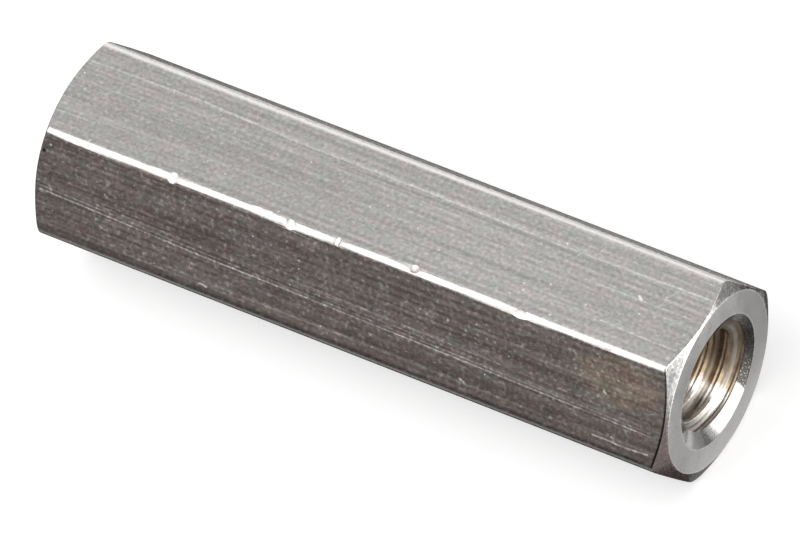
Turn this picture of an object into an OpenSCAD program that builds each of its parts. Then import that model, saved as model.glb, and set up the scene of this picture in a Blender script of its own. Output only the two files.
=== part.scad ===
// Hexagonal standoff with a tapped bore opening at both ends.
// It lies on one flat: X runs along the bore, Z points up, and the origin is
// under the middle of the bar, on the surface that it lies on.

/* [Bar] */
// Distance across the flats of the hexagonal bar
across_flats = 5; // [4:0.5:10]
// Length of the bar from end face to end face
body_length = 18; // [5:1:60]
// Radius of the six long corners that the bar is drawn with
corner_r = 0.3; // [0.1:0.05:0.6]

/* [End chamfers] */
// How far the turned end face stops short of the flats
end_face_step = 0.12; // [0.04:0.02:0.4]
// Slope of the chamfer, measured from the end face
chamfer_angle = 26; // [15:1:45]

/* [Tapped bore] */
// Outer diameter of the thread
thread_d = 3; // [2:0.5:4]
// Pitch of the thread, which is taken off its diameter to give the drill
thread_pitch = 0.5; // [0.25:0.05:0.7]
// How far the countersink's rim stands outside the thread
countersink_step = 0.25; // [0.1:0.05:0.5]
// Included angle of the countersink
countersink_angle = 120; // [60:5:140]

/* [Hidden] */

// A hexagon has six sides, and its corners stand past its flats by this ratio.
sides = 6;
corner_ratio = 1 / cos(180 / sides);

// Curves are drawn with this many facets a turn.
curve_fn = 96;

// Cutting shapes run this far past the faces that they cut.
overrun = 1;

// Each corner's round swells past the flats by this much, so that planing the
// flats meets it on a clean edge.
corner_swell = 0.001;

bore_r = (thread_d - thread_pitch) / 2;
rim_r = thread_d / 2 + countersink_step;
end_face_r = across_flats / 2 - end_face_step;
half_length = body_length / 2;

// Centres of the corner rounds, and the flat that is left between two of them
corner_centre_r = (across_flats / 2 - corner_r + corner_swell) * corner_ratio;
flat_width = 2 * corner_centre_r * sin(180 / sides);

// Section of the drawn bar: slabs from flat to flat, rounds at the corners,
// and the flats planed to size.
module bar_section() {
    intersection() {
        circle(d = across_flats * corner_ratio, $fn = sides);
        union() {
            for (i = [0 : sides / 2 - 1])
                rotate(i * 360 / sides)
                    square([flat_width, across_flats + 2 * corner_r], center = true);
            for (i = [0 : sides - 1])
                rotate(i * 360 / sides)
                    translate([corner_centre_r, 0])
                        circle(r = corner_r, $fn = curve_fn);
        }
    }
}

// The bar as the lathe leaves it: a disc profile whose sloping ends meet the
// hexagon in six scallops.
module turned_envelope() {
    reach_r = across_flats;
    slope_run = (reach_r - end_face_r) * tan(chamfer_angle);
    rotate_extrude($fn = curve_fn)
        polygon([
            [0, -half_length],
            [end_face_r, -half_length],
            [reach_r, -half_length + slope_run],
            [reach_r, half_length - slope_run],
            [end_face_r, half_length],
            [0, half_length]
        ]);
}

// Everything that the drill and the countersink take away.
module tapped_bore() {
    flare = tan(countersink_angle / 2);
    sink_depth = (rim_r - bore_r) / flare;
    rotate_extrude($fn = curve_fn)
        polygon([
            [0, -half_length - overrun],
            [rim_r + overrun * flare, -half_length - overrun],
            [bore_r, -half_length + sink_depth],
            [bore_r, half_length - sink_depth],
            [rim_r + overrun * flare, half_length + overrun],
            [0, half_length + overrun]
        ]);
}

module hex_standoff() {
    color("silver")
        translate([0, 0, across_flats / 2])
            rotate([90, 0, 90])
                difference() {
                    intersection() {
                        linear_extrude(height = body_length + 2 * overrun, center = true)
                            bar_section();
                        turned_envelope();
                    }
                    tapped_bore();
                }
}

hex_standoff();
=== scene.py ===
"""Looks of a drawn steel hex standoff: its dressed solid, finishes, studio and camera.

The standoff is one piece. Its blank is a closed mesh that follows the bar's section around and the turned
ends' profile inwards; a Geometry Nodes tree then cuts the two threads and knocks the long edge.
Meshes are worked in millimetres and scaled to metres when they are finished.
"""

import logging
import math
from collections.abc import Sequence
from dataclasses import dataclass, field
from enum import Enum
from functools import reduce
from typing import Union

import bpy
from mathutils import Matrix, Vector


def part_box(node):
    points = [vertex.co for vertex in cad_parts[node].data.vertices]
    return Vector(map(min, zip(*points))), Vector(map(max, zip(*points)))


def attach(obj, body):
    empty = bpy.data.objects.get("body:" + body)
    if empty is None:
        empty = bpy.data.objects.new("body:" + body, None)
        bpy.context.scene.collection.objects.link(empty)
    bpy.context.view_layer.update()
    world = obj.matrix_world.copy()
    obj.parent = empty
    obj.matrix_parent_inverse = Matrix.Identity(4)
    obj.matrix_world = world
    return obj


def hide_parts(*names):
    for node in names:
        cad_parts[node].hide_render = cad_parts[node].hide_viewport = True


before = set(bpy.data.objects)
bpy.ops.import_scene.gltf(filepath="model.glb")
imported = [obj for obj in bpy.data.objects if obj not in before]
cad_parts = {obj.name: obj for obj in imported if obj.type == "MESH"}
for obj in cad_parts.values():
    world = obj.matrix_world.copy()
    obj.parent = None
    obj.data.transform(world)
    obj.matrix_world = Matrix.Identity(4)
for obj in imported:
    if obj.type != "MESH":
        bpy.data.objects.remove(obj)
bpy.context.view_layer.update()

log = logging.getLogger("standoff")

MM = 0.001
CAD_NODE = "hex_standoff"
BODY = "root"
SIDES = 6
TURN = 2 * math.pi

Colour = tuple[float, float, float]
Point2 = tuple[float, float]


# ---- Node work ----

class Wire:
    """One output socket that can be used in arithmetic as if it were a number."""

    def __init__(self, bench: "NodeBench", socket: bpy.types.NodeSocket | None) -> None:
        """Keep the socket, and the bench that new nodes are added to."""
        self.bench = bench
        self.socket = socket

    def _math(self, operation: str, *terms: "Value") -> "Wire":
        """The result of one Math node."""
        return self.bench.node("ShaderNodeMath", {"operation": operation}, dict(enumerate(terms)))

    def __add__(self, other: "Value") -> "Wire":
        """Sum with a number or wire, in either order."""
        return self._math("ADD", self, other)

    __radd__ = __add__

    def __sub__(self, other: "Value") -> "Wire":
        """Difference with a number or wire."""
        return self._math("SUBTRACT", self, other)

    def __rsub__(self, other: "Value") -> "Wire":
        """Difference, with the number first."""
        return self._math("SUBTRACT", other, self)

    def __mul__(self, other: "Value") -> "Wire":
        """Product with a number or wire, in either order."""
        return self._math("MULTIPLY", self, other)

    __rmul__ = __mul__

    def __truediv__(self, other: "Value") -> "Wire":
        """Quotient with a number or wire."""
        return self._math("DIVIDE", self, other)

    def __rtruediv__(self, other: "Value") -> "Wire":
        """Quotient, with the number first."""
        return self._math("DIVIDE", other, self)

    def __pow__(self, power: "Value") -> "Wire":
        """Raised to a power."""
        return self._math("POWER", self, power)

    def __abs__(self) -> "Wire":
        """Size without its sign."""
        return self._math("ABSOLUTE", self)

    def lowest(self, other: "Value") -> "Wire":
        """The smaller of this and another value."""
        return self._math("MINIMUM", self, other)

    def highest(self, other: "Value") -> "Wire":
        """The larger of this and another value."""
        return self._math("MAXIMUM", self, other)

    def band(self, low: float, high: float, smooth: bool = True) -> "Wire":
        """Rise from 0 to 1 as this goes from low to high.

        Args:
            low: Value at which the result is 0.
            high: Value at which the result is 1; it may be the smaller one.
            smooth: Whether the rise is eased at both ends.

        Returns:
            The result, kept between 0 and 1.
        """
        start, end, first, last = (low, high, 0.0, 1.0) if low < high else (high, low, 1.0, 0.0)
        style = "SMOOTHSTEP" if smooth else "LINEAR"
        sockets = {"Value": self, "From Min": start, "From Max": end, "To Min": first, "To Max": last}
        return self.bench.node("ShaderNodeMapRange", {"interpolation_type": style}, sockets)

    def beside(self, name: str) -> "Wire":
        """Another output of the same node."""
        return Wire(self.bench, self.socket.node.outputs[name])

    def parts(self) -> tuple["Wire", "Wire", "Wire"]:
        """X, Y and Z of a vector, or red, green and blue of a colour."""
        x = self.bench.node("ShaderNodeSeparateXYZ", sockets={0: self})
        return x, x.beside("Y"), x.beside("Z")


Value = Union[float, Sequence[float], Wire]


class NodeBench:
    """A node tree under construction, for materials and for Geometry Nodes."""

    def __init__(self, tree: bpy.types.NodeTree) -> None:
        """Start on an emptied tree."""
        self.tree = tree
        tree.nodes.clear()

    def node(
        self,
        kind: str,
        settings: dict[str, object] | None = None,
        sockets: dict[str | int, Value] | None = None,
        outlet: str | int = 0,
    ) -> Wire:
        """Add one node, set it up, and then feed its sockets.

        Args:
            kind: The node's type.
            settings: Its properties, which are set first.
            sockets: Values or wires for its inputs, each by identifier, name or number.
            outlet: Identifier, name or number of the output that is wanted.

        Returns:
            That output, or an empty wire where the node has no outputs.
        """
        made = self.tree.nodes.new(kind)
        for name, setting in (settings or {}).items():
            setattr(made, name, setting)
        for key, value in (sockets or {}).items():
            self._feed(self._find(made.inputs, key), value)
        return Wire(self, self._find(made.outputs, outlet) if len(made.outputs) else None)

    @staticmethod
    def _find(sockets: bpy.types.bpy_prop_collection, key: str | int) -> bpy.types.NodeSocket:
        """Pick a socket by its identifier, or else by its name or number."""
        same = [socket for socket in sockets if socket.identifier == key]
        return same[0] if same else sockets[key]

    def _feed(self, socket: bpy.types.NodeSocket, value: Value) -> None:
        """Link a wire to a socket, or set the socket's own value.

        Args:
            socket: The input to feed.
            value: A wire, a number, or the parts of a colour or vector.
        """
        if isinstance(value, Wire):
            self.tree.links.new(value.socket, socket)
        elif socket.type == "RGBA" and len(value) == 3:
            socket.default_value = (*value, 1.0)
        else:
            socket.default_value = value

    # Short names for the nodes that the finishes use most

    def millimetres(self) -> Wire:
        """Place on the piece, in millimetres."""
        return self.scaled(self.node("ShaderNodeTexCoord", outlet="Object"), 1 / MM)

    def vector(self, operation: str, *terms: Value, outlet: str | int = 0) -> Wire:
        """The result of one Vector Math node."""
        return self.node("ShaderNodeVectorMath", {"operation": operation}, dict(enumerate(terms)), outlet)

    def scaled(self, vector: Value, factor: Value) -> Wire:
        """A vector times a number or wire."""
        return self.node("ShaderNodeVectorMath", {"operation": "SCALE"}, {0: vector, "Scale": factor})

    def join(self, x: Value, y: Value, z: Value = 0.0) -> Wire:
        """A vector from its three parts."""
        return self.node("ShaderNodeCombineXYZ", sockets={0: x, 1: y, 2: z})

    def blend(self, amount: Value, first: Value, second: Value, mode: str = "MIX") -> Wire:
        """The first colour with this amount of the second, from 0 to 1, mixed in."""
        sockets = {"Factor_Float": amount, "A_Color": first, "B_Color": second}
        return self.node("ShaderNodeMix", {"data_type": "RGBA", "blend_type": mode}, sockets, "Result_Color")

    def shaded(self, colour: Value, shade: Value) -> Wire:
        """A colour made darker or brighter: each of its parts times the shade."""
        grey = self.node("ShaderNodeCombineColor", sockets={0: shade, 1: shade, 2: shade})
        return self.blend(1.0, colour, grey, "MULTIPLY")


def new_material(name: str) -> tuple[bpy.types.Material, NodeBench]:
    """Start a material.

    Args:
        name: Its name.

    Returns:
        The material, and a bench on its emptied tree.
    """
    made = bpy.data.materials.new(name)
    made.use_nodes = True
    return made, NodeBench(made.node_tree)


def weighted(parts: Sequence[Wire], shares: Sequence[Value]) -> Wire:
    """The sum of some values, each times its share."""
    return sum(share * part for part, share in zip(parts, shares))


# ---- Finishes ----

class Zone(Enum):
    """The surfaces of the standoff that were finished in different ways."""

    FLATS = 0
    CHAMFER = 1
    END_FACE = 2
    COUNTERSINK = 3
    THREAD = 4


class Side(Enum):
    """The two flats that carry marks that can be told apart."""

    TOP = "top"
    FRONT = "front"


@dataclass(frozen=True)
class Pattern:
    """Noise with its own number of cells a millimetre along X, Y and Z, and its own octaves of detail.

    The shift moves it, so that two patterns with the same cells differ.
    """

    cells: Sequence[float]
    detail: float = 2.0
    shift: float = 0.0

    def at(self, place: Wire) -> Wire:
        """The pattern's value at a place.

        Args:
            place: The place in millimetres.

        Returns:
            A value around 0, mostly within a quarter of it.
        """
        moved = place.bench.vector("MULTIPLY_ADD", place, self.cells, (self.shift,) * 3)
        sockets = {"Vector": moved, "Scale": 1.0, "Detail": self.detail}
        return place.bench.node("ShaderNodeTexNoise", sockets=sockets, outlet="Fac") - 0.5


@dataclass(frozen=True)
class FlatPlace:
    """Where a shaded point is, as seen from one flat, with a mask that is 1 on that flat alone."""

    spot: Wire
    mask: Wire


@dataclass(frozen=True)
class Mark:
    """A scratch, nick or speck on one flat: a line through some points, or a spot round one.

    A place on a flat is the distance along the bar and the distance across the flat from its middle line,
    which is positive away from the edge between the two marked flats on the top, and towards the bench on
    the front. The core is the share of the width that is marked in full.
    """

    side: Side
    points: Sequence[Point2]
    width: float
    strength: float = 1.0
    dark: bool = False
    core: float = 0.2

    def on(self, flat: FlatPlace) -> Wire:
        """Where the mark lies.

        Args:
            flat: Its flat, laid out.

        Returns:
            The mark's strength in its core, falling to 0 at its width.
        """
        stretches = list(zip(self.points, self.points[1:])) or [(self.points[0], self.points[0])]
        nearest = reduce(Wire.lowest, (self.distance(flat.spot, *stretch) for stretch in stretches))
        return nearest.band(self.width, self.core * self.width) * self.strength * flat.mask

    @staticmethod
    def distance(spot: Wire, start: Point2, end: Point2) -> Wire:
        """How far a place is from a straight stretch.

        Args:
            spot: The place on the flat.
            start: Where the stretch starts.
            end: Where it ends, which may be where it starts.

        Returns:
            The distance in millimetres.
        """
        first = Vector((*start, 0.0))
        run = Vector((*end, 0.0)) - first
        offset = spot.bench.vector("SUBTRACT", spot, first)
        if run.length > 0:
            heading = run.normalized()
            along = spot.bench.vector("DOT_PRODUCT", offset, heading, outlet="Value")
            nearest = spot.bench.scaled(heading, along.highest(0.0).lowest(run.length))
            offset = spot.bench.vector("SUBTRACT", offset, nearest)
        return spot.bench.vector("LENGTH", offset, outlet="Value")


@dataclass(frozen=True)
class Finish:
    """What all the steel surfaces share: how a finish becomes a material.

    A height of 1 stands for the depth, in millimetres.
    """

    name: str
    base: Colour = (0.60, 0.59, 0.575)
    roughness: float = 0.3
    depth: float = 0.0012

    def material(self) -> bpy.types.Material:
        """Make the material.

        Returns:
            A new material with this finish's nodes.
        """
        made, bench = new_material(self.name)
        colour, roughness, height = self.surface(bench.millimetres())
        sockets = {"Strength": 1.0, "Distance": self.depth * MM, "Height": height}
        bump = bench.node("ShaderNodeBump", sockets=sockets)
        sockets = {"Base Color": colour, "Metallic": 1.0, "Roughness": roughness, "Normal": bump}
        shader = bench.node("ShaderNodeBsdfPrincipled", sockets=sockets)
        bench.node("ShaderNodeOutputMaterial", sockets={"Surface": shader})
        return made

    def surface(self, place: Wire) -> tuple[Wire, Wire, Wire]:
        """Work out what varies over the surface.

        Args:
            place: Place in millimetres.

        Returns:
            Colour, roughness and height.
        """
        raise NotImplementedError


@dataclass(frozen=True)
class DrawnSteel(Finish):
    """Cold drawn flats: fine lengthwise lines, a mottled sheen, specks, and the marks of handling.

    The bar's end and the radius and angle of its chamfer say where the painted shade line along the near end
    lies.
    A share that has two values is the first on most flats and the second on the front one.
    """

    across_flats: float = field(kw_only=True)
    bar_end: float = field(kw_only=True)
    face_radius: float = field(kw_only=True)
    chamfer_angle: float = field(kw_only=True)
    marks: Sequence[Mark] = field(kw_only=True)
    depth: float = 0.0045
    lines: Pattern = Pattern((0.14, 11.0, 11.0), 0.6)
    streaks: Pattern = Pattern((0.07, 6.0, 6.0), 1.6, 17.0)
    mottle: Pattern = Pattern((1.8, 2.8, 2.8), 4.0, 5.0)
    grain: Pattern = Pattern((9.5, 11.0, 11.0), 2.0, 71.0)
    tint: Pattern = Pattern((2.0, 3.0, 3.0), 5.0, 41.0)
    warm: Colour = (0.652, 0.588, 0.574)
    cool: Colour = (0.575, 0.59, 0.56)
    tint_share: Point2 = (0.60, 0.80)
    tint_edge: Point2 = (-0.15, 0.15)
    # What lightens and darkens the steel
    evenness: float = 0.98
    grain_share: float = 0.68
    line_share: Point2 = (0.35, 0.29)
    streak_share: Point2 = (0.28, 0.13)
    mottle_share: Point2 = (0.18, 0.28)
    # Shares of the grain, its bright tips, the combing and the mottle in the roughness
    ruffles: Sequence[float] = (0.16, 2.4, 0.8, 0.14)
    least_roughness: float = 0.18
    # Shares of the lines, the streaks, the grain and the wear in the height
    relief: Sequence[float] = (0.55, 0.35, 0.45, -0.6)
    # Bright specks, scratches and nicks
    bare: Colour = (0.93, 0.92, 0.90)
    bare_share: float = 0.85
    bare_roughness: float = 0.25
    speck_cells: float = 5.0
    speck_reach: Point2 = (0.05, 0.18)
    speck_edge: Point2 = (0.0, 0.6)
    speck_choice: Point2 = (0.72, 0.80)
    mark_grain: Point2 = (0.75, 1.6)
    # Dark pits, and a painted shade line on the front flat along the near end, where it meets the chamfer
    pit_and_shade: Colour = (0.05, 0.045, 0.04)
    edge_shade_width: float = 0.075
    edge_shade_run: Point2 = (-0.9, -2.7)
    edge_shade_fade: float = 0.03
    # An old brown stain near the near end
    stain: Colour = (1.10, 1.02, 0.88)
    stain_spot: Point2 = (7.6, -0.6)
    stain_size: Point2 = (1.5, 0.8)
    stain_edge: Point2 = (1.0, 0.3)
    stain_roughness: float = 0.05
    # How far below its flat a place may lie and still belong to it: not at all, and fully
    mask_reach: Point2 = (0.04, 0.015)

    def surface(self, place: Wire) -> tuple[Wire, Wire, Wire]:
        """Work out what varies over the flats.

        Args:
            place: Place in millimetres.

        Returns:
            Colour, roughness and height.
        """
        bench = place.bench
        flats = self.flat_places(place)
        front = flats[Side.FRONT].mask
        lines, streaks, mottle, grain, tint = (
            pattern.at(place) for pattern in (self.lines, self.streaks, self.mottle, self.grain, self.tint)
        )
        tint_share, line_share, streak_share, mottle_share = (
            most + (on_front - most) * front
            for most, on_front in (self.tint_share, self.line_share, self.streak_share, self.mottle_share)
        )
        tips = grain.highest(0.0) ** 2.0
        combing = line_share * lines + streak_share * streaks
        shade = self.evenness + self.grain_share * grain + combing + mottle_share * mottle
        tinted = bench.blend(tint.band(*self.tint_edge), self.warm, self.cool)
        colour = bench.shaded(bench.blend(tint_share, self.base, tinted), shade)
        scratches = self.scored(flats, dark=False) * (self.mark_grain[0] + self.mark_grain[1] * grain)
        wear_and_glint = self.specks(place).highest(scratches)
        colour = bench.blend(wear_and_glint.lowest(1.0) * self.bare_share, colour, self.bare)
        # Dark pits, and painted shade: a dark line along the near end of the front flat
        pits_and_edge_shade = self.scored(flats, dark=True).highest(self.painted_edge_shade(place) * front)
        colour = bench.blend(pits_and_edge_shade, colour, self.pit_and_shade)
        stained = self.stained(flats[Side.FRONT])
        colour = bench.blend(stained, colour, bench.blend(1.0, colour, self.stain, "MULTIPLY"))
        ruffle = weighted((grain, tips, combing, mottle), self.ruffles)
        roughness = self.roughness + ruffle + self.bare_roughness * wear_and_glint + self.stain_roughness * stained
        height = weighted((lines, streaks, grain, wear_and_glint), self.relief)
        return colour, roughness.highest(self.least_roughness), height

    def flat_places(self, place: Wire) -> dict[Side, FlatPlace]:
        """Lay the two marked flats out flat.

        Args:
            place: Place in millimetres.

        Returns:
            For each side, the place on it and a mask that is 1 on it alone.
        """
        x, y, z = place.parts()
        half = self.across_flats / 2
        lift = z - half
        cos, sin = math.cos(TURN / SIDES), math.sin(TURN / SIDES)
        sideways = {Side.TOP: (y, lift), Side.FRONT: (y * -cos - lift * sin, y * -sin + lift * cos)}
        outside, inside = (half - reach for reach in self.mask_reach)
        return {
            side: FlatPlace(place.bench.join(x, across), height.band(outside, inside))
            for side, (across, height) in sideways.items()
        }

    def scored(self, flats: dict[Side, FlatPlace], dark: bool) -> Wire:
        """Where the marks lie.

        Args:
            flats: The laid-out flats.
            dark: Whether the dark marks are wanted, or the bright ones.

        Returns:
            Each mark's strength in its middle, and 0 away from them all.
        """
        chosen = [mark for mark in self.marks if mark.dark is dark]
        return reduce(Wire.highest, (mark.on(flats[mark.side]) for mark in chosen))

    def specks(self, place: Wire) -> Wire:
        """Tiny bright specks, sown at random where small chips bared the metal.

        Args:
            place: Place in millimetres.

        Returns:
            1 on a speck and 0 between them.
        """
        settings = {"feature": "F1", "voronoi_dimensions": "3D"}
        sockets = {"Vector": place, "Scale": self.speck_cells, "Randomness": 1.0}
        distance = place.bench.node("ShaderNodeTexVoronoi", settings, sockets, "Distance")
        chance, size, _ = distance.beside("Color").parts()
        reach = self.speck_reach[0] + (self.speck_reach[1] - self.speck_reach[0]) * size
        return ((reach - distance) / reach).band(*self.speck_edge) * chance.band(*self.speck_choice)

    def painted_edge_shade(self, place: Wire) -> Wire:
        """A painted shade line: thin and dark, on the flats along the near end where they meet the chamfer.

        Args:
            place: Place in millimetres.

        Returns:
            1 on the line and 0 away from it.
        """
        x, y, z = place.parts()
        radius = (y ** 2 + (z - self.across_flats / 2) ** 2) ** 0.5
        cone = self.bar_end - (radius - self.face_radius) * math.tan(self.chamfer_angle)
        width = self.edge_shade_width * y.band(*self.edge_shade_run, smooth=False)
        return (width - cone + x).band(0.0, self.edge_shade_fade, smooth=False)

    def stained(self, flat: FlatPlace) -> Wire:
        """Where the stain lies.

        Args:
            flat: The front flat, laid out.

        Returns:
            1 in the stain and 0 away from it.
        """
        along, across, _ = flat.spot.parts()
        along = (along - self.stain_spot[0]) / self.stain_size[0]
        across = (across - self.stain_spot[1]) / self.stain_size[1]
        return (along ** 2 + across ** 2).band(*self.stain_edge) * flat.mask


@dataclass(frozen=True)
class TurnedSteel(Finish):
    """A surface that was faced on the lathe: fine rings around the bore, speckles and a little mottle."""

    centre: Point2 = field(kw_only=True)
    ring_cells: float = 30.0
    speckle_cells: float = 14.0
    mottle: Pattern = Pattern((2.6, 2.6, 2.6), 3.0, 3.0)
    # What lightens and darkens the steel
    evenness: float = 0.94
    shading: float = 0.25
    ring_share: float = 0.6
    speckle: float = 0.3
    # Shares of the mottle in the roughness, and of the speckle in the roughness and in the height
    mottle_ruffle: float = 0.10
    speckle_ruffle: float = 0.3
    speckle_relief: float = 2.0
    # Painted glints: thin bright rings at these distances from the bore's axis, where edges catch the light
    glint_colour: Colour = (0.95, 0.93, 0.92)
    painted_glint_rims: Sequence[float] = ()
    rim_width: float = 0.03
    rim_core: float = 0.3
    rim_grain: Point2 = (0.3, 2.0)

    def from_axis(self, place: Wire) -> tuple[Wire, Wire, Wire]:
        """How a place lies from the bore's axis.

        Args:
            place: Place in millimetres.

        Returns:
            Y and Z from the axis, and the distance from it.
        """
        _, y, z = place.parts()
        y, z = y - self.centre[0], z - self.centre[1]
        return y, z, (y ** 2 + z ** 2) ** 0.5

    def surface(self, place: Wire) -> tuple[Wire, Wire, Wire]:
        """Work out what varies over a turned surface.

        Args:
            place: Place in millimetres.

        Returns:
            Colour, roughness and height.
        """
        bench = place.bench
        radius = self.from_axis(place)[2]
        rings = Pattern((self.ring_cells, 1.0, self.ring_cells)).at(bench.join(radius, 0.0, place.parts()[0]))
        speckles = Pattern((self.speckle_cells,) * 3, 3.0, 23.0).at(place)
        mottle = self.mottle.at(place)
        shade = self.evenness + self.speckle * speckles + self.shading * (mottle + self.ring_share * rings)
        colour = bench.shaded(self.base, shade)
        # Painted glints: a bright ring painted at each of these radii
        for rim in self.painted_glint_rims:
            near = abs(radius - rim).band(self.rim_width, self.rim_core * self.rim_width)
            wear_and_glint = near * (self.rim_grain[0] + self.rim_grain[1] * speckles)
            colour = bench.blend(wear_and_glint, colour, self.glint_colour)
        ruffle = self.mottle_ruffle * mottle + self.speckle_ruffle * self.speckle * speckles
        height = rings + self.speckle_relief * self.speckle * speckles
        return colour, self.roughness + ruffle, height


@dataclass(frozen=True)
class ShadedSideSteel(TurnedSteel):
    """A turned or tapped surface whose side away from the light is painted dark as shade.

    The heading points from +Y towards +Z to the shaded side, and the painted shade sets in over the edge's
    two distances that way from the bore's axis. A ring where the painted shade is lighter is a distance from
    the axis and a width.
    """

    painted_shade: Colour = field(kw_only=True)
    edge: Point2 = field(kw_only=True)
    heading: float = math.radians(15)
    rags: Pattern = Pattern((3.0, 5.0, 5.0), 3.0, 9.0)
    raggedness: float = 0.45
    shade_mottle: float = 1.2
    fleck_pattern: Pattern = Pattern((24.0, 24.0, 24.0), 2.0, 31.0)
    fleck_choice: Point2 = (0.07, 0.15)
    flecks: float = 0.0
    unshaded_ring: Sequence[float] = ()
    unshaded_core: float = 0.5
    unshaded_share: float = 0.45
    shaded_side_roughness: float = 0.36

    def surface(self, place: Wire) -> tuple[Wire, Wire, Wire]:
        """Work out what varies over a surface with painted shade.

        Args:
            place: Place in millimetres.

        Returns:
            Colour, roughness and height.
        """
        bench = place.bench
        colour, roughness, height = super().surface(place)
        y, z, radius = self.from_axis(place)
        side = y * math.cos(self.heading) + z * math.sin(self.heading)
        ragged = self.rags.at(place)
        fleck_gaps = self.fleck_pattern.at(place).band(*self.fleck_choice) * self.flecks
        # Painted shade: the side away from the light is darkened towards the shade colour, with a ragged edge
        # and light flecks left in it
        shaded_side = (side + self.raggedness * ragged).band(*self.edge) * (1.0 - fleck_gaps)
        if self.unshaded_ring:
            ring, width = self.unshaded_ring
            unshaded_ring = abs(radius - ring).band(width, self.unshaded_core * width)
            shaded_side = shaded_side * (1.0 - self.unshaded_share * unshaded_ring)
        colour = bench.blend(shaded_side, colour, bench.shaded(self.painted_shade, 1.0 + self.shade_mottle * ragged))
        return colour, roughness + shaded_side * (self.shaded_side_roughness - self.roughness), height


# ---- The blank: a hexagonal bar with turned ends ----

@dataclass
class HexSection:
    """Section of the drawn bar: six flats, joined by corners whose curvature rises and falls smoothly."""

    across_flats: float
    corner_reaches: Sequence[float] = (0.30, 0.37, 0.155, 0.30, 0.55, 0.30)
    corner_steps: int = 12
    flat_steps: int = 20
    substeps: int = 6

    def corner(self, index: int) -> list[Point2]:
        """One rounded corner.

        The surface turns with the distance s from the corner's middle by 1.5 t - 0.5 t^3 of half the
        corner's angle, where t is s over the corner's reach.

        Args:
            index: Which corner, counted from +Y towards +Z.

        Returns:
            Points around the corner, in Y and Z from the bar's axis.
        """
        half_turn = math.pi / SIDES
        steps = self.corner_steps // 2 * self.substeps
        walk = self.corner_reaches[index] / steps
        sideways, inwards = 0.0, 0.0
        half = [(0.0, 0.0)]
        for step in range(steps):
            t = (step + 0.5) / steps
            angle = half_turn * (1.5 * t - 0.5 * t ** 3)
            sideways += walk * math.cos(angle)
            inwards += walk * math.sin(angle)
            if (step + 1) % self.substeps == 0:
                half.append((sideways, inwards))
        apex = (self.across_flats / 2 - sideways * math.sin(half_turn)) / math.cos(half_turn) + inwards
        local = [(-s, apex - d) for s, d in reversed(half[1:])] + [(s, apex - d) for s, d in half]
        heading = TURN * index / SIDES
        cos, sin = math.cos(heading), math.sin(heading)
        return [(r * cos - s * sin, r * sin + s * cos) for s, r in local]

    def corner_middle(self, index: int) -> Point2:
        """Middle of a corner's round, in Y and Z from the bar's axis."""
        return self.corner(index)[self.corner_steps // 2]

    def corner_radius(self, index: int) -> float:
        """Radius of a corner's round at its middle."""
        return self.corner_reaches[index] / (1.5 * math.pi / SIDES)

    def outline(self) -> list[Point2]:
        """The whole section.

        Returns:
            Points around the bar, in Y and Z from its axis, without the first one again at the end.
        """
        corners = [self.corner(index) for index in range(SIDES)]
        points: list[Point2] = []
        for corner, following in zip(corners, corners[1:] + corners[:1]):
            points += corner
            start, end = corner[-1], following[0]
            for step in range(1, self.flat_steps):
                share = step / self.flat_steps
                points.append(tuple(a + (b - a) * share for a, b in zip(start, end)))
        return points


@dataclass(frozen=True)
class Row:
    """One row of a turned profile: radius, depth behind the end face, and the zone of the strip after it."""

    radius: float
    depth: float
    zone: Zone
    fillet: float = 0.0


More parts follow.
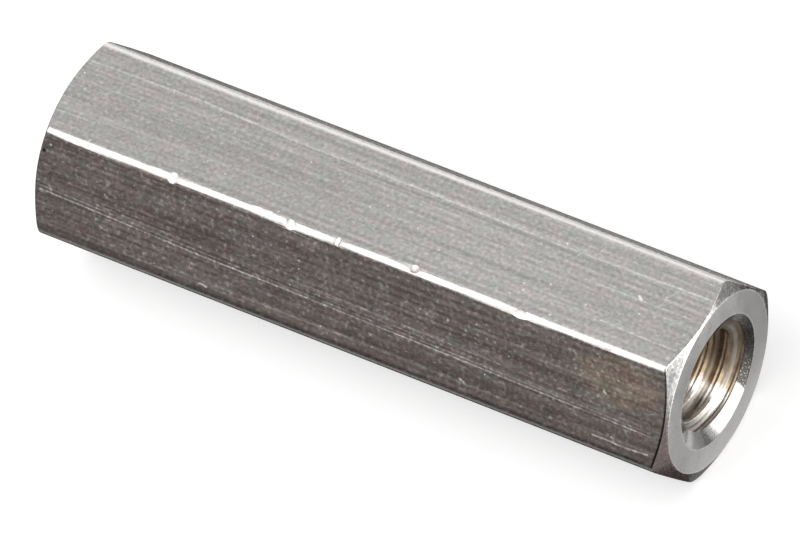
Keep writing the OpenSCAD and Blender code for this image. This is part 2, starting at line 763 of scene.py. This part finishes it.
@dataclass
class TurnedEnd:
    """One end as the lathe leaves it: chamfer, end face, countersink and the mouth of the bore."""

    face_radius: float
    chamfer_angle: float
    rim_radius: float
    bore_radius: float
    sink_angle: float
    chamfer_centre: Point2
    bore_centre: Point2
    edge_fillet: float = 0.05
    face_fillet: float = 0.06
    rim_fillet: float = 0.03
    mouth_fillet: float = 0.012
    fillet_steps: int = 5
    support: float = 0.02
    # The most of a stretch between two knees that a fillet and its support row take up
    fillet_share: float = 0.45
    support_share: float = 0.15
    least_chamfer: float = 0.002
    run_out: float = 0.5

    def rows(self, corner: Point2) -> list[tuple[float, Point2, Zone]]:
        """The end's profile, from the bar's side inwards, under one point of the bar's outline.

        Args:
            corner: That point, in Y and Z from the bar's axis.

        Returns:
            Depth behind the end face, place in Y and Z, and the zone of the strip that starts there.
        """
        outer = Vector(corner) - Vector(self.chamfer_centre)
        heading = outer.normalized()
        reach = max(outer.length, self.face_radius + self.least_chamfer)
        drop = (reach - self.face_radius) * math.tan(self.chamfer_angle)
        sink = (self.rim_radius - self.bore_radius) / math.tan(self.sink_angle / 2)
        knees = [
            Row(reach, drop + self.run_out, Zone.FLATS),
            Row(reach, drop, Zone.CHAMFER, self.edge_fillet),
            Row(self.face_radius, 0.0, Zone.END_FACE, self.face_fillet),
            Row(self.rim_radius, 0.0, Zone.COUNTERSINK, self.rim_fillet),
            Row(self.bore_radius, sink, Zone.THREAD, self.mouth_fillet),
            Row(self.bore_radius, sink + self.run_out, Zone.THREAD),
        ]
        placed = []
        for row in self.rounded(knees):
            turned = min(max((row.radius - self.rim_radius) / (self.face_radius - self.rim_radius), 0.0), 1.0)
            spot = Vector(self.bore_centre).lerp(Vector(self.chamfer_centre), turned) + heading * row.radius
            placed.append((row.depth, (spot.x, spot.y), row.zone))
        return placed

    def rounded(self, knees: Sequence[Row]) -> list[Row]:
        """Round the knees of a profile, with a support row beside each fillet.

        Args:
            knees: The sharp profile, with each knee's fillet. Its first and last rows only give directions.

        Returns:
            The rows of all the fillets and their supports.
        """
        spots = [Vector((knee.radius, knee.depth)) for knee in knees]
        rows: list[Row] = []
        for index in range(1, len(knees) - 1):
            knee = spots[index]
            before, after = spots[index - 1] - knee, spots[index + 1] - knee
            turn = math.pi - before.angle(after)
            shorter = min(before.length, after.length)
            setback = min(knees[index].fillet * math.tan(turn / 2), self.fillet_share * shorter)
            support = min(self.support, self.support_share * shorter)
            zone, next_zone = knees[index - 1].zone, knees[index].zone
            before.normalize()
            after.normalize()
            start, end = knee + before * setback, knee + after * setback
            inward = ((start + end) / 2 - knee).normalized()
            across = (end - start).normalized()
            radius = setback / math.tan(turn / 2)
            centre = knee + inward * (radius / math.cos(turn / 2))
            rows.append(Row(*(start + before * support), zone))
            for step in range(self.fillet_steps + 1):
                swept = (step / self.fillet_steps - 0.5) * turn
                spot = centre + (across * math.sin(swept) - inward * math.cos(swept)) * radius
                rows.append(Row(*spot, zone if step < self.fillet_steps else next_zone))
            rows.append(Row(*(end + after * support), next_zone))
        return rows


@dataclass
class Blank:
    """The bar with both ends turned and the bore drilled, before it is tapped."""

    section: HexSection
    length: float
    near_end: TurnedEnd
    far_end: TurnedEnd
    stations: Sequence[float] = (6.0, 3.0, 0.0, -3.0, -6.0)

    def mesh(self) -> bpy.types.Mesh:
        """Build the closed mesh, in millimetres from the bar's middle, with each face's zone.

        Returns:
            The mesh, whose face attribute "zone" holds the number of each face's zone.
        """
        columns = [self.column(spot) for spot in self.section.outline()]
        count = len(columns[0])
        points = [point for column in columns for point, _ in column]
        faces, zones = [], []
        for index, column in enumerate(columns):
            here, beside = index * count, (index + 1) % len(columns) * count
            for row in range(count):
                below = (row + 1) % count
                faces.append((here + row, beside + row, beside + below, here + below))
                zones.append(column[row][1].value)
        mesh = bpy.data.meshes.new("blank")
        mesh.from_pydata(points, [], faces)
        attribute = mesh.attributes.new("zone", "INT", "FACE")
        attribute.data.foreach_set("value", zones)
        mesh.update()
        return mesh

    def column(self, spot: Point2) -> list[tuple[Vector, Zone]]:
        """One closed strip's edge: along the side, in over the near end, back along the bore and out.

        Args:
            spot: Point of the bar's outline, in Y and Z.

        Returns:
            Points with the zone of the strip that starts at each.
        """
        half = self.length / 2
        loop = [(Vector((x, *spot)), Zone.FLATS) for x in reversed(self.stations)]
        loop += [(Vector((half - depth, *place)), zone) for depth, place, zone in self.near_end.rows(spot)]
        # The far end's rows are taken backwards, so the strip after each is the one that came before it.
        back = []
        before = Zone.FLATS
        for depth, place, zone in self.far_end.rows(spot):
            back.append((Vector((depth - half, *place)), before))
            before = zone
        return loop + back[::-1]


# ---- Machining: thread and knocks, in Geometry Nodes ----

@dataclass(frozen=True)
class Knock:
    """A small flat that a knock left on the long edge.

    It leans around the bar from the edge's middle towards the front flat, and its length runs along the bar.
    """

    along: float
    depth: float
    lean: float
    length: float
    width: float


@dataclass
class Machining:
    """Cuts both threads and the knocks on the long edge, and gives each zone its finish."""

    length: float
    bore_radius: float
    bore_centre: Point2
    pitch: float
    thread_radius: float
    knock_edge: Point2
    knock_corner: float
    root_width: float = 0.075
    root_fillet: float = 0.025
    overlap: float = 0.05
    tapped_turns: int = 13
    lead_turns: int = 2
    first_groove: float = 0.285
    facets: int = 96
    knock_facets: int = 12
    knock_foot: float = 0.5
    knock_mouth: float = 2.4
    knock_height: float = 0.12
    knock_heading: float = math.radians(30)
    knocks: Sequence[Knock] = (
        Knock(-5.19, 0.045, math.radians(0), 0.17, 0.30),
        Knock(-1.81, 0.036, math.radians(7), 0.20, 0.26),
        Knock(-0.47, 0.026, math.radians(-4), 0.12, 0.22),
        Knock(1.69, 0.030, math.radians(-15), 0.17, 0.18),
        Knock(4.71, 0.036, math.radians(8), 0.30, 0.18),
    )
    scuff_count: int = 40
    scuff_depth: float = 0.010
    scuff_inset: float = 0.5
    scuff_lean: float = math.radians(12)
    least_scuff: Point2 = (0.15, 0.14)
    largest_scuff: Point2 = (0.90, 0.26)
    seed: int = 4

    def sizes(self) -> dict[str, Value]:
        """Work out the tree's inputs.

        Returns:
            Their values by name.
        """
        start, end = self.scuff_inset - self.length / 2, self.length / 2 - self.scuff_inset
        return {
            "Pitch": self.pitch,
            "Inner radius": self.bore_radius - self.overlap,
            "Thread radius": self.thread_radius,
            "Root width": self.root_width,
            "Root fillet": self.root_fillet,
            "Turns": float(self.tapped_turns + self.lead_turns),
            "Start": self.length / 2 - self.first_groove - self.pitch * self.tapped_turns,
            "Facets": self.facets,
            "Tap centre": (0.0, *self.bore_centre),
            "Knock facets": self.knock_facets,
            "Knock foot": self.knock_foot,
            "Knock mouth": self.knock_mouth,
            "Knock height": self.knock_height,
            "Knock corner": self.knock_corner,
            "Scuffs": self.scuff_count,
            "Scuff start": self.seat(start, self.scuff_depth),
            "Scuff end": self.seat(end, 0.0),
            "Scuff lean low": (self.knock_heading - self.scuff_lean, 0.0, 0.0),
            "Scuff lean high": (self.knock_heading + self.scuff_lean, 0.0, 0.0),
            "Scuff size low": (*self.least_scuff, 1.0),
            "Scuff size high": (*self.largest_scuff, 1.0),
            "Seed": self.seed,
        }

    def seat(self, along: float, depth: float) -> Vector:
        """Where a knocking tool is hung: the centre of the edge's round, moved in by the knock's depth.

        Args:
            along: Place along the bar.
            depth: How deep the tool's flat goes.

        Returns:
            The place, from the bar's middle.
        """
        edge = Vector((0.0, *self.knock_edge))
        inner = edge * ((edge.length - self.knock_corner - depth) / edge.length)
        return inner + Vector((along, 0.0, 0.0))

    def build_tree(self, finishes: dict[Zone, bpy.types.Material]) -> bpy.types.NodeTree:
        """Build the Geometry Nodes tree.

        Args:
            finishes: The material of each zone.

        Returns:
            The tree, with named inputs for its sizes.
        """
        tree = bpy.data.node_groups.new("tap_and_knock", "GeometryNodeTree")
        tree.interface.new_socket("Standoff", in_out="OUTPUT", socket_type="NodeSocketGeometry")
        tree.interface.new_socket("Blank", in_out="INPUT", socket_type="NodeSocketGeometry")
        kinds = {float: "NodeSocketFloat", int: "NodeSocketInt"}
        for name, size in self.sizes().items():
            kind = kinds.get(type(size), "NodeSocketVector")
            tree.interface.new_socket(name, in_out="INPUT", socket_type=kind)
        bench = NodeBench(tree)
        solid = bench.node("NodeGroupInput")
        given = {socket.name: Wire(bench, socket) for socket in solid.socket.node.outputs if socket.name}
        for tools in (self.taps(bench, given), self.knock_tools(bench, given)):
            settings = {"operation": "DIFFERENCE", "solver": "MANIFOLD"}
            solid = bench.node("GeometryNodeMeshBoolean", settings, {"Mesh 1": solid, "Mesh 2": tools})
        solid = bench.node("GeometryNodeRealizeInstances", sockets={0: solid})
        zone = bench.node("GeometryNodeInputNamedAttribute", {"data_type": "INT"}, {"Name": "zone"})
        for kind, finish in finishes.items():
            settings = {"data_type": "INT", "operation": "EQUAL"}
            chosen = bench.node("FunctionNodeCompare", settings, {"A_INT": zone, "B_INT": kind.value})
            sockets = {"Geometry": solid, "Selection": chosen, "Material": finish}
            solid = bench.node("GeometryNodeSetMaterial", sockets=sockets)
        bench.node("NodeGroupOutput", sockets={0: solid})
        return tree

    @staticmethod
    def zoned(tool: Wire, zone: Zone) -> Wire:
        """Give a tool's faces, and so the faces that it cuts, their zone.

        Args:
            tool: The tool.
            zone: The zone.

        Returns:
            The marked tool.
        """
        settings = {"data_type": "INT", "domain": "FACE"}
        sockets = {"Geometry": tool, "Name": "zone", "Value": zone.value}
        return tool.bench.node("GeometryNodeStoreNamedAttribute", settings, sockets)

    @staticmethod
    def joined(bench: NodeBench, pieces: Sequence[Wire]) -> Wire:
        """Join some geometry.

        Args:
            bench: The tree's bench.
            pieces: What is joined.

        Returns:
            All of it as one.
        """
        whole = bench.node("GeometryNodeJoinGeometry")
        for piece in pieces:
            bench.tree.links.new(piece.socket, whole.socket.node.inputs[0])
        return whole

    def taps(self, bench: NodeBench, given: dict[str, Wire]) -> Wire:
        """The helical tool of each end, each turned the same way as seen from its own end.

        Args:
            bench: The tree's bench.
            given: The tree's inputs by name.

        Returns:
            Both tools, as meshes.
        """
        inner, outer, turns = given["Inner radius"], given["Thread radius"], given["Turns"]
        middle = (inner + outer) / 2
        sockets = {
            "Resolution": given["Facets"], "Rotations": turns, "Start Radius": middle,
            "End Radius": middle, "Height": turns * given["Pitch"], "Reverse": True,
        }
        helix = bench.node("GeometryNodeCurveSpiral", sockets=sockets)
        helix = bench.node("GeometryNodeSetCurveNormal", {"mode": "Z_UP"}, {0: helix})
        flank = (outer - inner) * (2 * math.tan(math.pi / SIDES))
        sockets = {
            "Height": outer - inner, "Bottom Width": given["Root width"] + flank,
            "Top Width": given["Root width"], "Offset": 0.0,
        }
        tooth = bench.node("GeometryNodeCurvePrimitiveQuadrilateral", {"mode": "TRAPEZOID"}, sockets)
        sockets = {"Curve": tooth, "Count": 2, "Radius": given["Root fillet"], "Limit Radius": True}
        tooth = bench.node("GeometryNodeFilletCurve", {"mode": "POLY"}, sockets)
        sockets = {"Geometry": tooth, "Rotation": (0, 0, -math.pi / 2)}
        tooth = bench.node("GeometryNodeTransform", sockets=sockets)
        sockets = {"Curve": helix, "Profile Curve": tooth, "Fill Caps": True}
        tool = self.zoned(bench.node("GeometryNodeCurveToMesh", sockets=sockets), Zone.THREAD)
        start = bench.join(given["Start"], 0.0)
        sockets = {"Geometry": tool, "Translation": start, "Rotation": (0, math.pi / 2, 0)}
        near = bench.node("GeometryNodeTransform", sockets=sockets)
        far = bench.node("GeometryNodeTransform", sockets={"Geometry": near, "Rotation": (0, 0, math.pi)})
        sockets = {"Geometry": self.joined(bench, (near, far)), "Translation": given["Tap centre"]}
        return bench.node("GeometryNodeTransform", sockets=sockets)

    def knock_tools(self, bench: NodeBench, given: dict[str, Wire]) -> Wire:
        """Flat-nosed tools that flatten the long edge where it was knocked, and lightly all along it.

        Args:
            bench: The tree's bench.
            given: The tree's inputs by name.

        Returns:
            The knocks' tools as meshes, and the scuffs' as instances, so that each one is cut by itself.
        """
        sockets = {
            "Vertices": given["Knock facets"], "Radius Top": given["Knock mouth"],
            "Radius Bottom": given["Knock foot"], "Depth": given["Knock height"],
        }
        tool = bench.node("GeometryNodeMeshCone", {"fill_type": "TRIANGLE_FAN"}, sockets)
        raised = bench.join(0.0, 0.0, given["Knock corner"])
        sockets = {"Geometry": self.zoned(tool, Zone.FLATS), "Translation": raised}
        tool = bench.node("GeometryNodeTransform", sockets=sockets)
        tools = []
        for knock in self.knocks:
            sockets = {
                "Geometry": tool,
                "Translation": self.seat(knock.along, knock.depth),
                "Rotation": (self.knock_heading + knock.lean, 0.0, 0.0),
                "Scale": (knock.length, knock.width, 1.0),
            }
            tools.append(bench.node("GeometryNodeTransform", sockets=sockets))
        seed = given["Seed"]
        places = self.anywhere(bench, given["Scuff start"], given["Scuff end"], seed)
        leans = self.anywhere(bench, given["Scuff lean low"], given["Scuff lean high"], seed + 1)
        reaches = self.anywhere(bench, given["Scuff size low"], given["Scuff size high"], seed + 2)
        spots = bench.node("GeometryNodePoints", sockets={"Count": given["Scuffs"], "Position": places})
        sockets = {"Points": spots, "Instance": tool, "Rotation": leans, "Scale": reaches}
        tools.append(bench.node("GeometryNodeInstanceOnPoints", sockets=sockets))
        return self.joined(bench, tools)

    @staticmethod
    def anywhere(bench: NodeBench, low: Wire, high: Wire, seed: Wire) -> Wire:
        """A random vector between two for each point."""
        sockets = {"Min": low, "Max": high, "Seed": seed}
        return bench.node("FunctionNodeRandomValue", {"data_type": "FLOAT_VECTOR"}, sockets)

    def apply(self, blank: bpy.types.Mesh, finishes: dict[Zone, bpy.types.Material]) -> bpy.types.Mesh:
        """Machine a blank.

        Args:
            blank: The blank's mesh.
            finishes: The material of each zone.

        Returns:
            The machined mesh, with its materials.
        """
        work = bpy.data.objects.new("work", blank)
        bpy.context.scene.collection.objects.link(work)
        modifier = work.modifiers.new("machining", "NODES")
        modifier.node_group = self.build_tree(finishes)
        sizes = self.sizes()
        for item in modifier.node_group.interface.items_tree:
            if item.in_out == "INPUT" and item.name in sizes:
                modifier[item.identifier] = sizes[item.name]
        graph = bpy.context.evaluated_depsgraph_get()
        machined = bpy.data.meshes.new_from_object(work.evaluated_get(graph))
        work.modifiers.remove(modifier)
        bpy.data.objects.remove(work)
        machined.materials.pop(index=0)
        return machined


# ---- The standoff ----

@dataclass
class Standoff:
    """The whole object: one piece of drawn hexagonal steel, turned, drilled and tapped."""

    across_flats: float
    length: float
    marks: Sequence[Mark]
    face_step: float = 0.12
    chamfer_angle: float = math.radians(26)
    rim_step: float = 0.25
    sink_angle: float = math.radians(120)
    thread_diameter: float = 3.0
    tap_clearance: float = 0.04
    pitch: float = 0.5
    bore_centre: Point2 = (0.046, 0.055)
    far_chamfer_centre: Point2 = (-0.02, 0.10)
    knocked_corner: int = 2
    crease: float = math.radians(32)

    def __post_init__(self) -> None:
        """Work out the radii that the shapes and the finishes share."""
        self.face_radius = self.across_flats / 2 - self.face_step
        self.bore_radius = (self.thread_diameter - self.pitch) / 2

    def build(self) -> bpy.types.Object:
        """Build and dress the standoff.

        Returns:
            The finished piece, placed in the row's frame.
        """
        section = HexSection(self.across_flats)
        ends = [
            TurnedEnd(
                face_radius=self.face_radius,
                chamfer_angle=self.chamfer_angle,
                rim_radius=self.thread_diameter / 2 + self.rim_step,
                bore_radius=self.bore_radius,
                sink_angle=self.sink_angle,
                chamfer_centre=centre,
                bore_centre=self.bore_centre,
            )
            for centre in (self.bore_centre, self.far_chamfer_centre)
        ]
        machining = Machining(
            length=self.length,
            bore_radius=self.bore_radius,
            bore_centre=self.bore_centre,
            pitch=self.pitch,
            thread_radius=self.thread_diameter / 2 + self.tap_clearance,
            knock_edge=section.corner_middle(self.knocked_corner),
            knock_corner=section.corner_radius(self.knocked_corner),
        )
        mesh = machining.apply(Blank(section, self.length, *ends).mesh(), self.finishes())
        lift = Matrix.Translation((0.0, 0.0, self.across_flats / 2))
        mesh.transform(Matrix.Scale(MM, 4) @ lift)
        mesh.name = "standoff"
        mesh.shade_smooth()
        mesh.set_sharp_from_angle(angle=self.crease)
        piece = bpy.data.objects.new("standoff", mesh)
        bpy.context.scene.collection.objects.link(piece)
        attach(piece, BODY)
        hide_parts(CAD_NODE)
        log.info("standoff: %d faces, riding on %s", len(mesh.polygons), BODY)
        return piece

    def finishes(self) -> dict[Zone, bpy.types.Material]:
        """Make the finishes.

        Returns:
            The material of each zone.
        """
        centre = (self.bore_centre[0], self.across_flats / 2 + self.bore_centre[1])
        finishes = {
            Zone.FLATS: DrawnSteel(
                "drawn_flats", across_flats=self.across_flats, bar_end=self.length / 2,
                face_radius=self.face_radius, chamfer_angle=self.chamfer_angle, marks=self.marks,
            ),
            # The chamfer, end face and thread get painted glints: thin bright rings where their edges catch
            # the light
            Zone.CHAMFER: TurnedSteel(
                "turned_chamfer", centre=centre, roughness=0.23, speckle=0.9,
                painted_glint_rims=(2.40,), rim_width=0.05,
            ),
            Zone.END_FACE: TurnedSteel("turned_face", centre=centre, speckle=0.25, painted_glint_rims=(1.765, 2.36)),
            # The countersink and the thread get painted shade: their side that turns away from the light is
            # painted dark
            Zone.COUNTERSINK: ShadedSideSteel(
                "countersink", centre=centre, roughness=0.13, depth=0.0005, speckle=0.55, speckle_cells=20.0,
                painted_shade=(0.085, 0.078, 0.072), heading=math.radians(12), edge=(0.50, 0.60), raggedness=0.28,
                flecks=0.5, shaded_side_roughness=0.24,
            ),
            Zone.THREAD: ShadedSideSteel(
                "tapped_thread", centre=centre, base=(0.50, 0.475, 0.44), roughness=0.33, ring_cells=15.0,
                shading=1.0, ring_share=3.2, painted_glint_rims=(1.26,), rim_width=0.03,
                painted_shade=(0.21, 0.163, 0.115), edge=(0.07, 0.33), unshaded_ring=(1.37, 0.07),
            ),
        }
        return {zone: finish.material() for zone, finish in finishes.items()}


# ---- Studio and camera ----

BROWNISH = (1.0, 0.80, 0.775)


@dataclass
class SoftBox:
    """A rectangular lamp that faces the object."""

    name: str
    direction: Sequence[float]
    width: float
    height: float
    radiance: float
    lights_bench: bool = True
    distance: float = 0.60

    def build(self, target: Vector) -> None:
        """Hang the lamp.

        Args:
            target: What it faces.
        """
        lamp = bpy.data.lights.new(self.name, "AREA")
        lamp.shape = "RECTANGLE"
        lamp.size = self.width
        lamp.size_y = self.height
        lamp.energy = self.radiance * math.pi * self.width * self.height
        direction = Vector(self.direction).normalized()
        made = bpy.data.objects.new(self.name, lamp)
        made.location = target + direction * self.distance
        made.rotation_mode = "QUATERNION"
        made.rotation_quaternion = direction.to_track_quat("Z", "Y")
        made.visible_camera = False
        made.visible_diffuse = self.lights_bench
        bpy.context.scene.collection.objects.link(made)


def patch(low: Point2, high: Point2) -> list[Point2]:
    """Corners of an upright rectangle from its lowest and highest corner."""
    return [low, (high[0], low[1]), high, (low[0], high[1])]


def sheet(name: str, corners: Sequence[Sequence[float]], material: bpy.types.Material) -> bpy.types.Object:
    """Lay out a flat sheet.

    Args:
        name: Its name.
        corners: Its corners in order, in metres.
        material: What it is made of.

    Returns:
        The sheet's object.
    """
    mesh = bpy.data.meshes.new(name)
    mesh.from_pydata(corners, [], [tuple(range(len(corners)))])
    mesh.materials.append(material)
    made = bpy.data.objects.new(name, mesh)
    bpy.context.scene.collection.objects.link(made)
    return made


@dataclass
class ToneCard:
    """A card of one even tone that only reflections see, to shape what the metal mirrors.

    Its corners are in millimetres from the point on the bench under the middle of the bar.
    """

    name: str
    corners: Sequence[Sequence[float]]
    tone: float
    tint: Colour = (1.0, 1.0, 1.0)

    def build(self, lift: float) -> None:
        """Place the card.

        Args:
            lift: How far it is raised, so that no two cards share a plane.
        """
        material, bench = new_material(self.name)
        glow = bench.node("ShaderNodeEmission", sockets={"Color": self.tint, "Strength": self.tone})
        bench.node("ShaderNodeOutputMaterial", sockets={"Surface": glow})
        material.cycles.emission_sampling = "NONE"
        corners = [Vector((*corner, 0.0)[:3]) * MM + Vector((0, 0, lift)) for corner in self.corners]
        made = sheet(self.name, corners, material)
        for ray in ("camera", "diffuse", "shadow", "transmission"):
            setattr(made, f"visible_{ray}", False)


@dataclass
class Studio:
    """Floor, even surrounding light, soft lamps and tone cards."""

    target: Vector
    lamps: Sequence[SoftBox]
    cards: Sequence[ToneCard]
    surround: float = 0.65
    card_step: float = 0.000003
    floor_half: float = 3.0
    floor_drop: float = 0.00005
    floor_colour: Colour = (0.74, 0.74, 0.74)
    floor_lift: float = 0.48

    def build(self) -> None:
        """Set up the world, the floor, the lamps and the cards."""
        world = bpy.data.worlds.new("surround")
        world.use_nodes = True
        bench = NodeBench(world.node_tree)
        sockets = {"Color": (1.0, 1.0, 1.0), "Strength": self.surround}
        sky = bench.node("ShaderNodeBackground", sockets=sockets)
        bench.node("ShaderNodeOutputWorld", sockets={"Surface": sky})
        bpy.context.scene.world = world
        bpy.context.scene.view_settings.view_transform = "Standard"
        half = self.floor_half
        corners = [(x, y, -self.floor_drop) for x, y in patch((-half, -half), (half, half))]
        floor = sheet("floor", corners, self.floor_material())
        for lamp in self.lamps:
            lamp.build(self.target)
        for layer, card in enumerate(self.cards):
            card.build(layer * self.card_step)
        log.info("studio: %d lamps and %d cards", len(self.lamps), len(self.cards))

    def floor_material(self) -> bpy.types.Material:
        """A pale matt floor that is lifted a little towards white where it is looked at.

        Returns:
            The material.
        """
        made, bench = new_material("floor")
        matt = bench.node("ShaderNodeBsdfDiffuse", sockets={"Color": self.floor_colour})
        ray = bench.node("ShaderNodeLightPath", outlet="Is Camera Ray")
        seen = ray + ray.beside("Is Glossy Ray") + ray.beside("Is Transmission Ray")
        glow = bench.node("ShaderNodeEmission", sockets={"Strength": seen.lowest(1.0) * self.floor_lift})
        both = bench.node("ShaderNodeAddShader", sockets={0: matt, 1: glow})
        bench.node("ShaderNodeOutputMaterial", sockets={"Surface": both})
        return made


@dataclass
class Viewpoint:
    """Where the camera stands, how it is held, and its lens."""

    target: Vector
    azimuth: float = math.radians(43.319)
    elevation: float = math.radians(54.062)
    roll: float = math.radians(-16.152)
    distance: float = 0.34746
    lens: float = 640.24
    shift_x: float = 0.0004
    shift_y: float = -0.00862
    clip_start: float = 0.01

    def build(self) -> None:
        """Set up the camera."""
        level = math.cos(self.elevation)
        sideways, forwards = math.sin(self.azimuth) * level, -math.cos(self.azimuth) * level
        back = Vector((sideways, forwards, math.sin(self.elevation)))
        level_right = Vector((0, 0, 1)).cross(back).normalized()
        right = level_right * math.cos(self.roll) + back.cross(level_right) * math.sin(self.roll)
        camera = bpy.data.cameras.new("camera")
        for name in ("lens", "shift_x", "shift_y", "clip_start"):
            setattr(camera, name, getattr(self, name))
        made = bpy.data.objects.new("camera", camera)
        turned = Matrix((right, back.cross(right), back)).transposed().to_4x4()
        made.matrix_world = Matrix.Translation(self.target + back * self.distance) @ turned
        bpy.context.scene.collection.objects.link(made)
        bpy.context.scene.camera = made


# ---- Everything in order ----

def handling_marks() -> list[Mark]:
    """What handling left on the two flats that face the viewer.

    Returns:
        The scratches, nicks and specks.
    """
    top, front = Side.TOP, Side.FRONT
    rolled_line = [(-8.82, 0.77), (-5.73, 0.84), (-2.79, 0.72), (0.63, 0.73), (4.63, 0.68), (8.85, 0.74)]
    return [
        Mark(top, rolled_line, 0.04, 0.6),
        Mark(top, [(-8.85, -0.83), (-7.79, -0.81)], 0.03, 0.45),
        Mark(top, [(6.62, -0.84), (8.18, -0.88), (8.78, -0.87)], 0.025, 0.6),
        Mark(top, [(7.96, 0.64), (7.82, 0.39), (7.76, 0.10), (7.78, -0.14), (7.85, -0.46)], 0.025, 0.35),
        Mark(top, [(5.64, 0.83), (5.70, 1.11)], 0.025, 0.45),
        Mark(top, [(6.11, 0.05), (7.22, 0.06), (8.62, 0.07)], 0.025, 0.45),
        Mark(top, [(7.16, 0.15), (7.26, 0.08)], 0.055, 1.3),
        Mark(top, [(6.08, -0.60)], 0.05, 1.2),
        Mark(top, [(7.40, -0.30)], 0.04, 1.0),
        Mark(top, [(8.71, -0.39)], 0.05, 1.2),
        Mark(top, [(4.45, -0.84)], 0.045, 1.0),
        Mark(top, [(5.42, -1.21)], 0.045, 1.0),
        Mark(top, [(-8.56, -0.01)], 0.045, 1.0),
        Mark(front, [(-8.82, 0.22), (-4.17, 0.35), (1.55, 0.40), (8.62, 0.51)], 0.03, 0.75),
        Mark(front, [(-8.82, 0.12), (-4.17, 0.25), (1.55, 0.31), (8.62, 0.42)], 0.022, 0.45),
        Mark(front, [(-8.82, 0.03), (-2.0, 0.18), (4.0, 0.24)], 0.02, 0.35),
        Mark(front, [(-8.0, -0.02), (-3.0, 0.02), (8.4, 0.20)], 0.02, 0.3),
        Mark(front, [(3.30, 0.93), (3.42, 0.99)], 0.05, 1.2),
        Mark(front, [(7.06, 1.04), (7.50, 1.03), (7.85, 1.06), (8.60, 1.02)], 0.035, 0.9),
        Mark(front, [(-8.6, -0.38), (-1.0, -0.33), (8.2, -0.30)], 0.03, 0.22),
        Mark(front, [(-8.4, 0.98), (-2.0, 1.02), (5.5, 1.02)], 0.035, 0.22),
        Mark(front, [(-4.08, 1.10), (-3.90, 1.14)], 0.04, 1.0),
        Mark(front, [(-2.78, -0.72)], 0.05, 1.1),
        Mark(front, [(-1.44, -0.56)], 0.045, 1.0),
        Mark(front, [(2.01, -0.51)], 0.04, 0.9),
        Mark(front, [(2.80, -0.50)], 0.05, 1.1),
        Mark(front, [(7.00, -1.09)], 0.045, 1.0),
        Mark(front, [(7.23, -0.25), (7.29, -0.19)], 0.05, 1.2),
        Mark(front, [(-8.82, -0.85)], 0.09, 1.0, dark=True),
    ]


def soft_boxes() -> list[SoftBox]:
    """One lamp over the bench, one behind the bar, and one that shines into the near bore.

    Returns:
        The lamps.
    """
    return [
        SoftBox("key_box", (-0.40, -0.49, 0.77), 0.50, 0.70, 1.8),
        SoftBox("back_box", (-0.40, 0.88, 0.20), 0.60, 0.24, 1.05, lights_bench=False),
        SoftBox("bore_box", (0.94, 0.05, 0.30), 0.30, 0.20, 18.0, lights_bench=False),
    ]


def tone_cards() -> list[ToneCard]:
    """What the metal mirrors from the bench: around the bar, before its end, and inside the bore.

    Returns:
        The cards, of which each lies over the ones before it.
    """
    end_dark = [(9.03, -5), (10.2, -5), (10.2, -1.8), (9.6, -1.45), (9.03, -1.3)]
    corner_sheet = [(16, -5), (40, -5), (40, 3), (30, 3), (18.4, -1.6), (16, -1.8)]
    bright_sheet = [
        (12.9, 3.5), (13.4, -1.2), (18.4, -1.2), (30, 4.2), (31.5, 7.5),
        (140, 32), (140, 90), (60, 42), (20.4, 7),
    ]
    bore_glow = [(4.6, -1.10, 3.05), (8.45, -1.10, 3.05), (8.45, 0.30, 3.72), (4.6, 0.30, 3.72)]
    front_card = [(-170, -71, 0), (60, -173, 0), (60, -173, 40), (-170, -71, 40)]
    return [
        ToneCard("front_mat", patch((-149, -205), (9, -4.6)), 0.155, BROWNISH),
        ToneCard("front_shade", patch((-149, -12), (9, -4.6)), 0.07, BROWNISH),
        ToneCard("front_line", patch((-149, -4.6), (9, -3.6)), 0.50),
        ToneCard("under_shade", patch((-149, -3.6), (9.03, 2.2)), 0.03),
        ToneCard("under_glow", patch((8.5, -1.55), (9.03, 0.3)), 0.17),
        ToneCard("back_shade", patch((-149, 2.2), (9.03, 9)), 0.03),
        ToneCard("back_sheet", patch((-149, 9), (9, 150)), 0.90),
        ToneCard("corner_mat", patch((9, -205), (60, -5)), 0.08),
        ToneCard("end_mat", patch((9.03, -1.8), (12.2, 5.2)), 0.43),
        ToneCard("end_mid", patch((10.5, 0.6), (12.6, 4.2)), 0.21),
        ToneCard("end_foot", patch((9.6, -1.5), (10.7, -0.1)), 0.52),
        ToneCard("end_low", patch((9.03, -1.3), (9.55, 2.9)), 0.72),
        ToneCard("mouth_mat", patch((11.4, 1.8), (12.9, 4.2)), 0.68),
        ToneCard("end_dark", end_dark, 0.06, BROWNISH),
        ToneCard("end_shade", patch((10.2, -5), (16, -1.8)), 0.27, BROWNISH),
        ToneCard("corner_sheet", corner_sheet, 0.60),
        ToneCard("back_corner", patch((9.03, 5.2), (13, 10)), 0.06),
        ToneCard("sink_patch", patch((9.75, 0.9), (10.35, 1.5)), 0.36),
        ToneCard("corner_patch", [(13, 6), (19, 6), (60, 45), (60, 120), (13, 120)], 0.31),
        ToneCard("bright_sheet", bright_sheet, 2.6),
        ToneCard("bore_glow", bore_glow, 5.0),
        ToneCard("front_card", front_card, 0.115, BROWNISH),
    ]


def main() -> None:
    """Build the standoff, the studio and the camera."""
    logging.basicConfig(level=logging.INFO, format="%(name)s: %(message)s")
    low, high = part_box(CAD_NODE)
    length = (high.x - low.x) / MM
    across_flats = (high.z - low.z) / MM
    Standoff(across_flats, length, handling_marks()).build()
    middle = Vector((0.0, 0.0, (low.z + high.z) / 2))
    Studio(middle, soft_boxes(), tone_cards()).build()
    Viewpoint(middle).build()


if __name__ == "__main__":
    main()
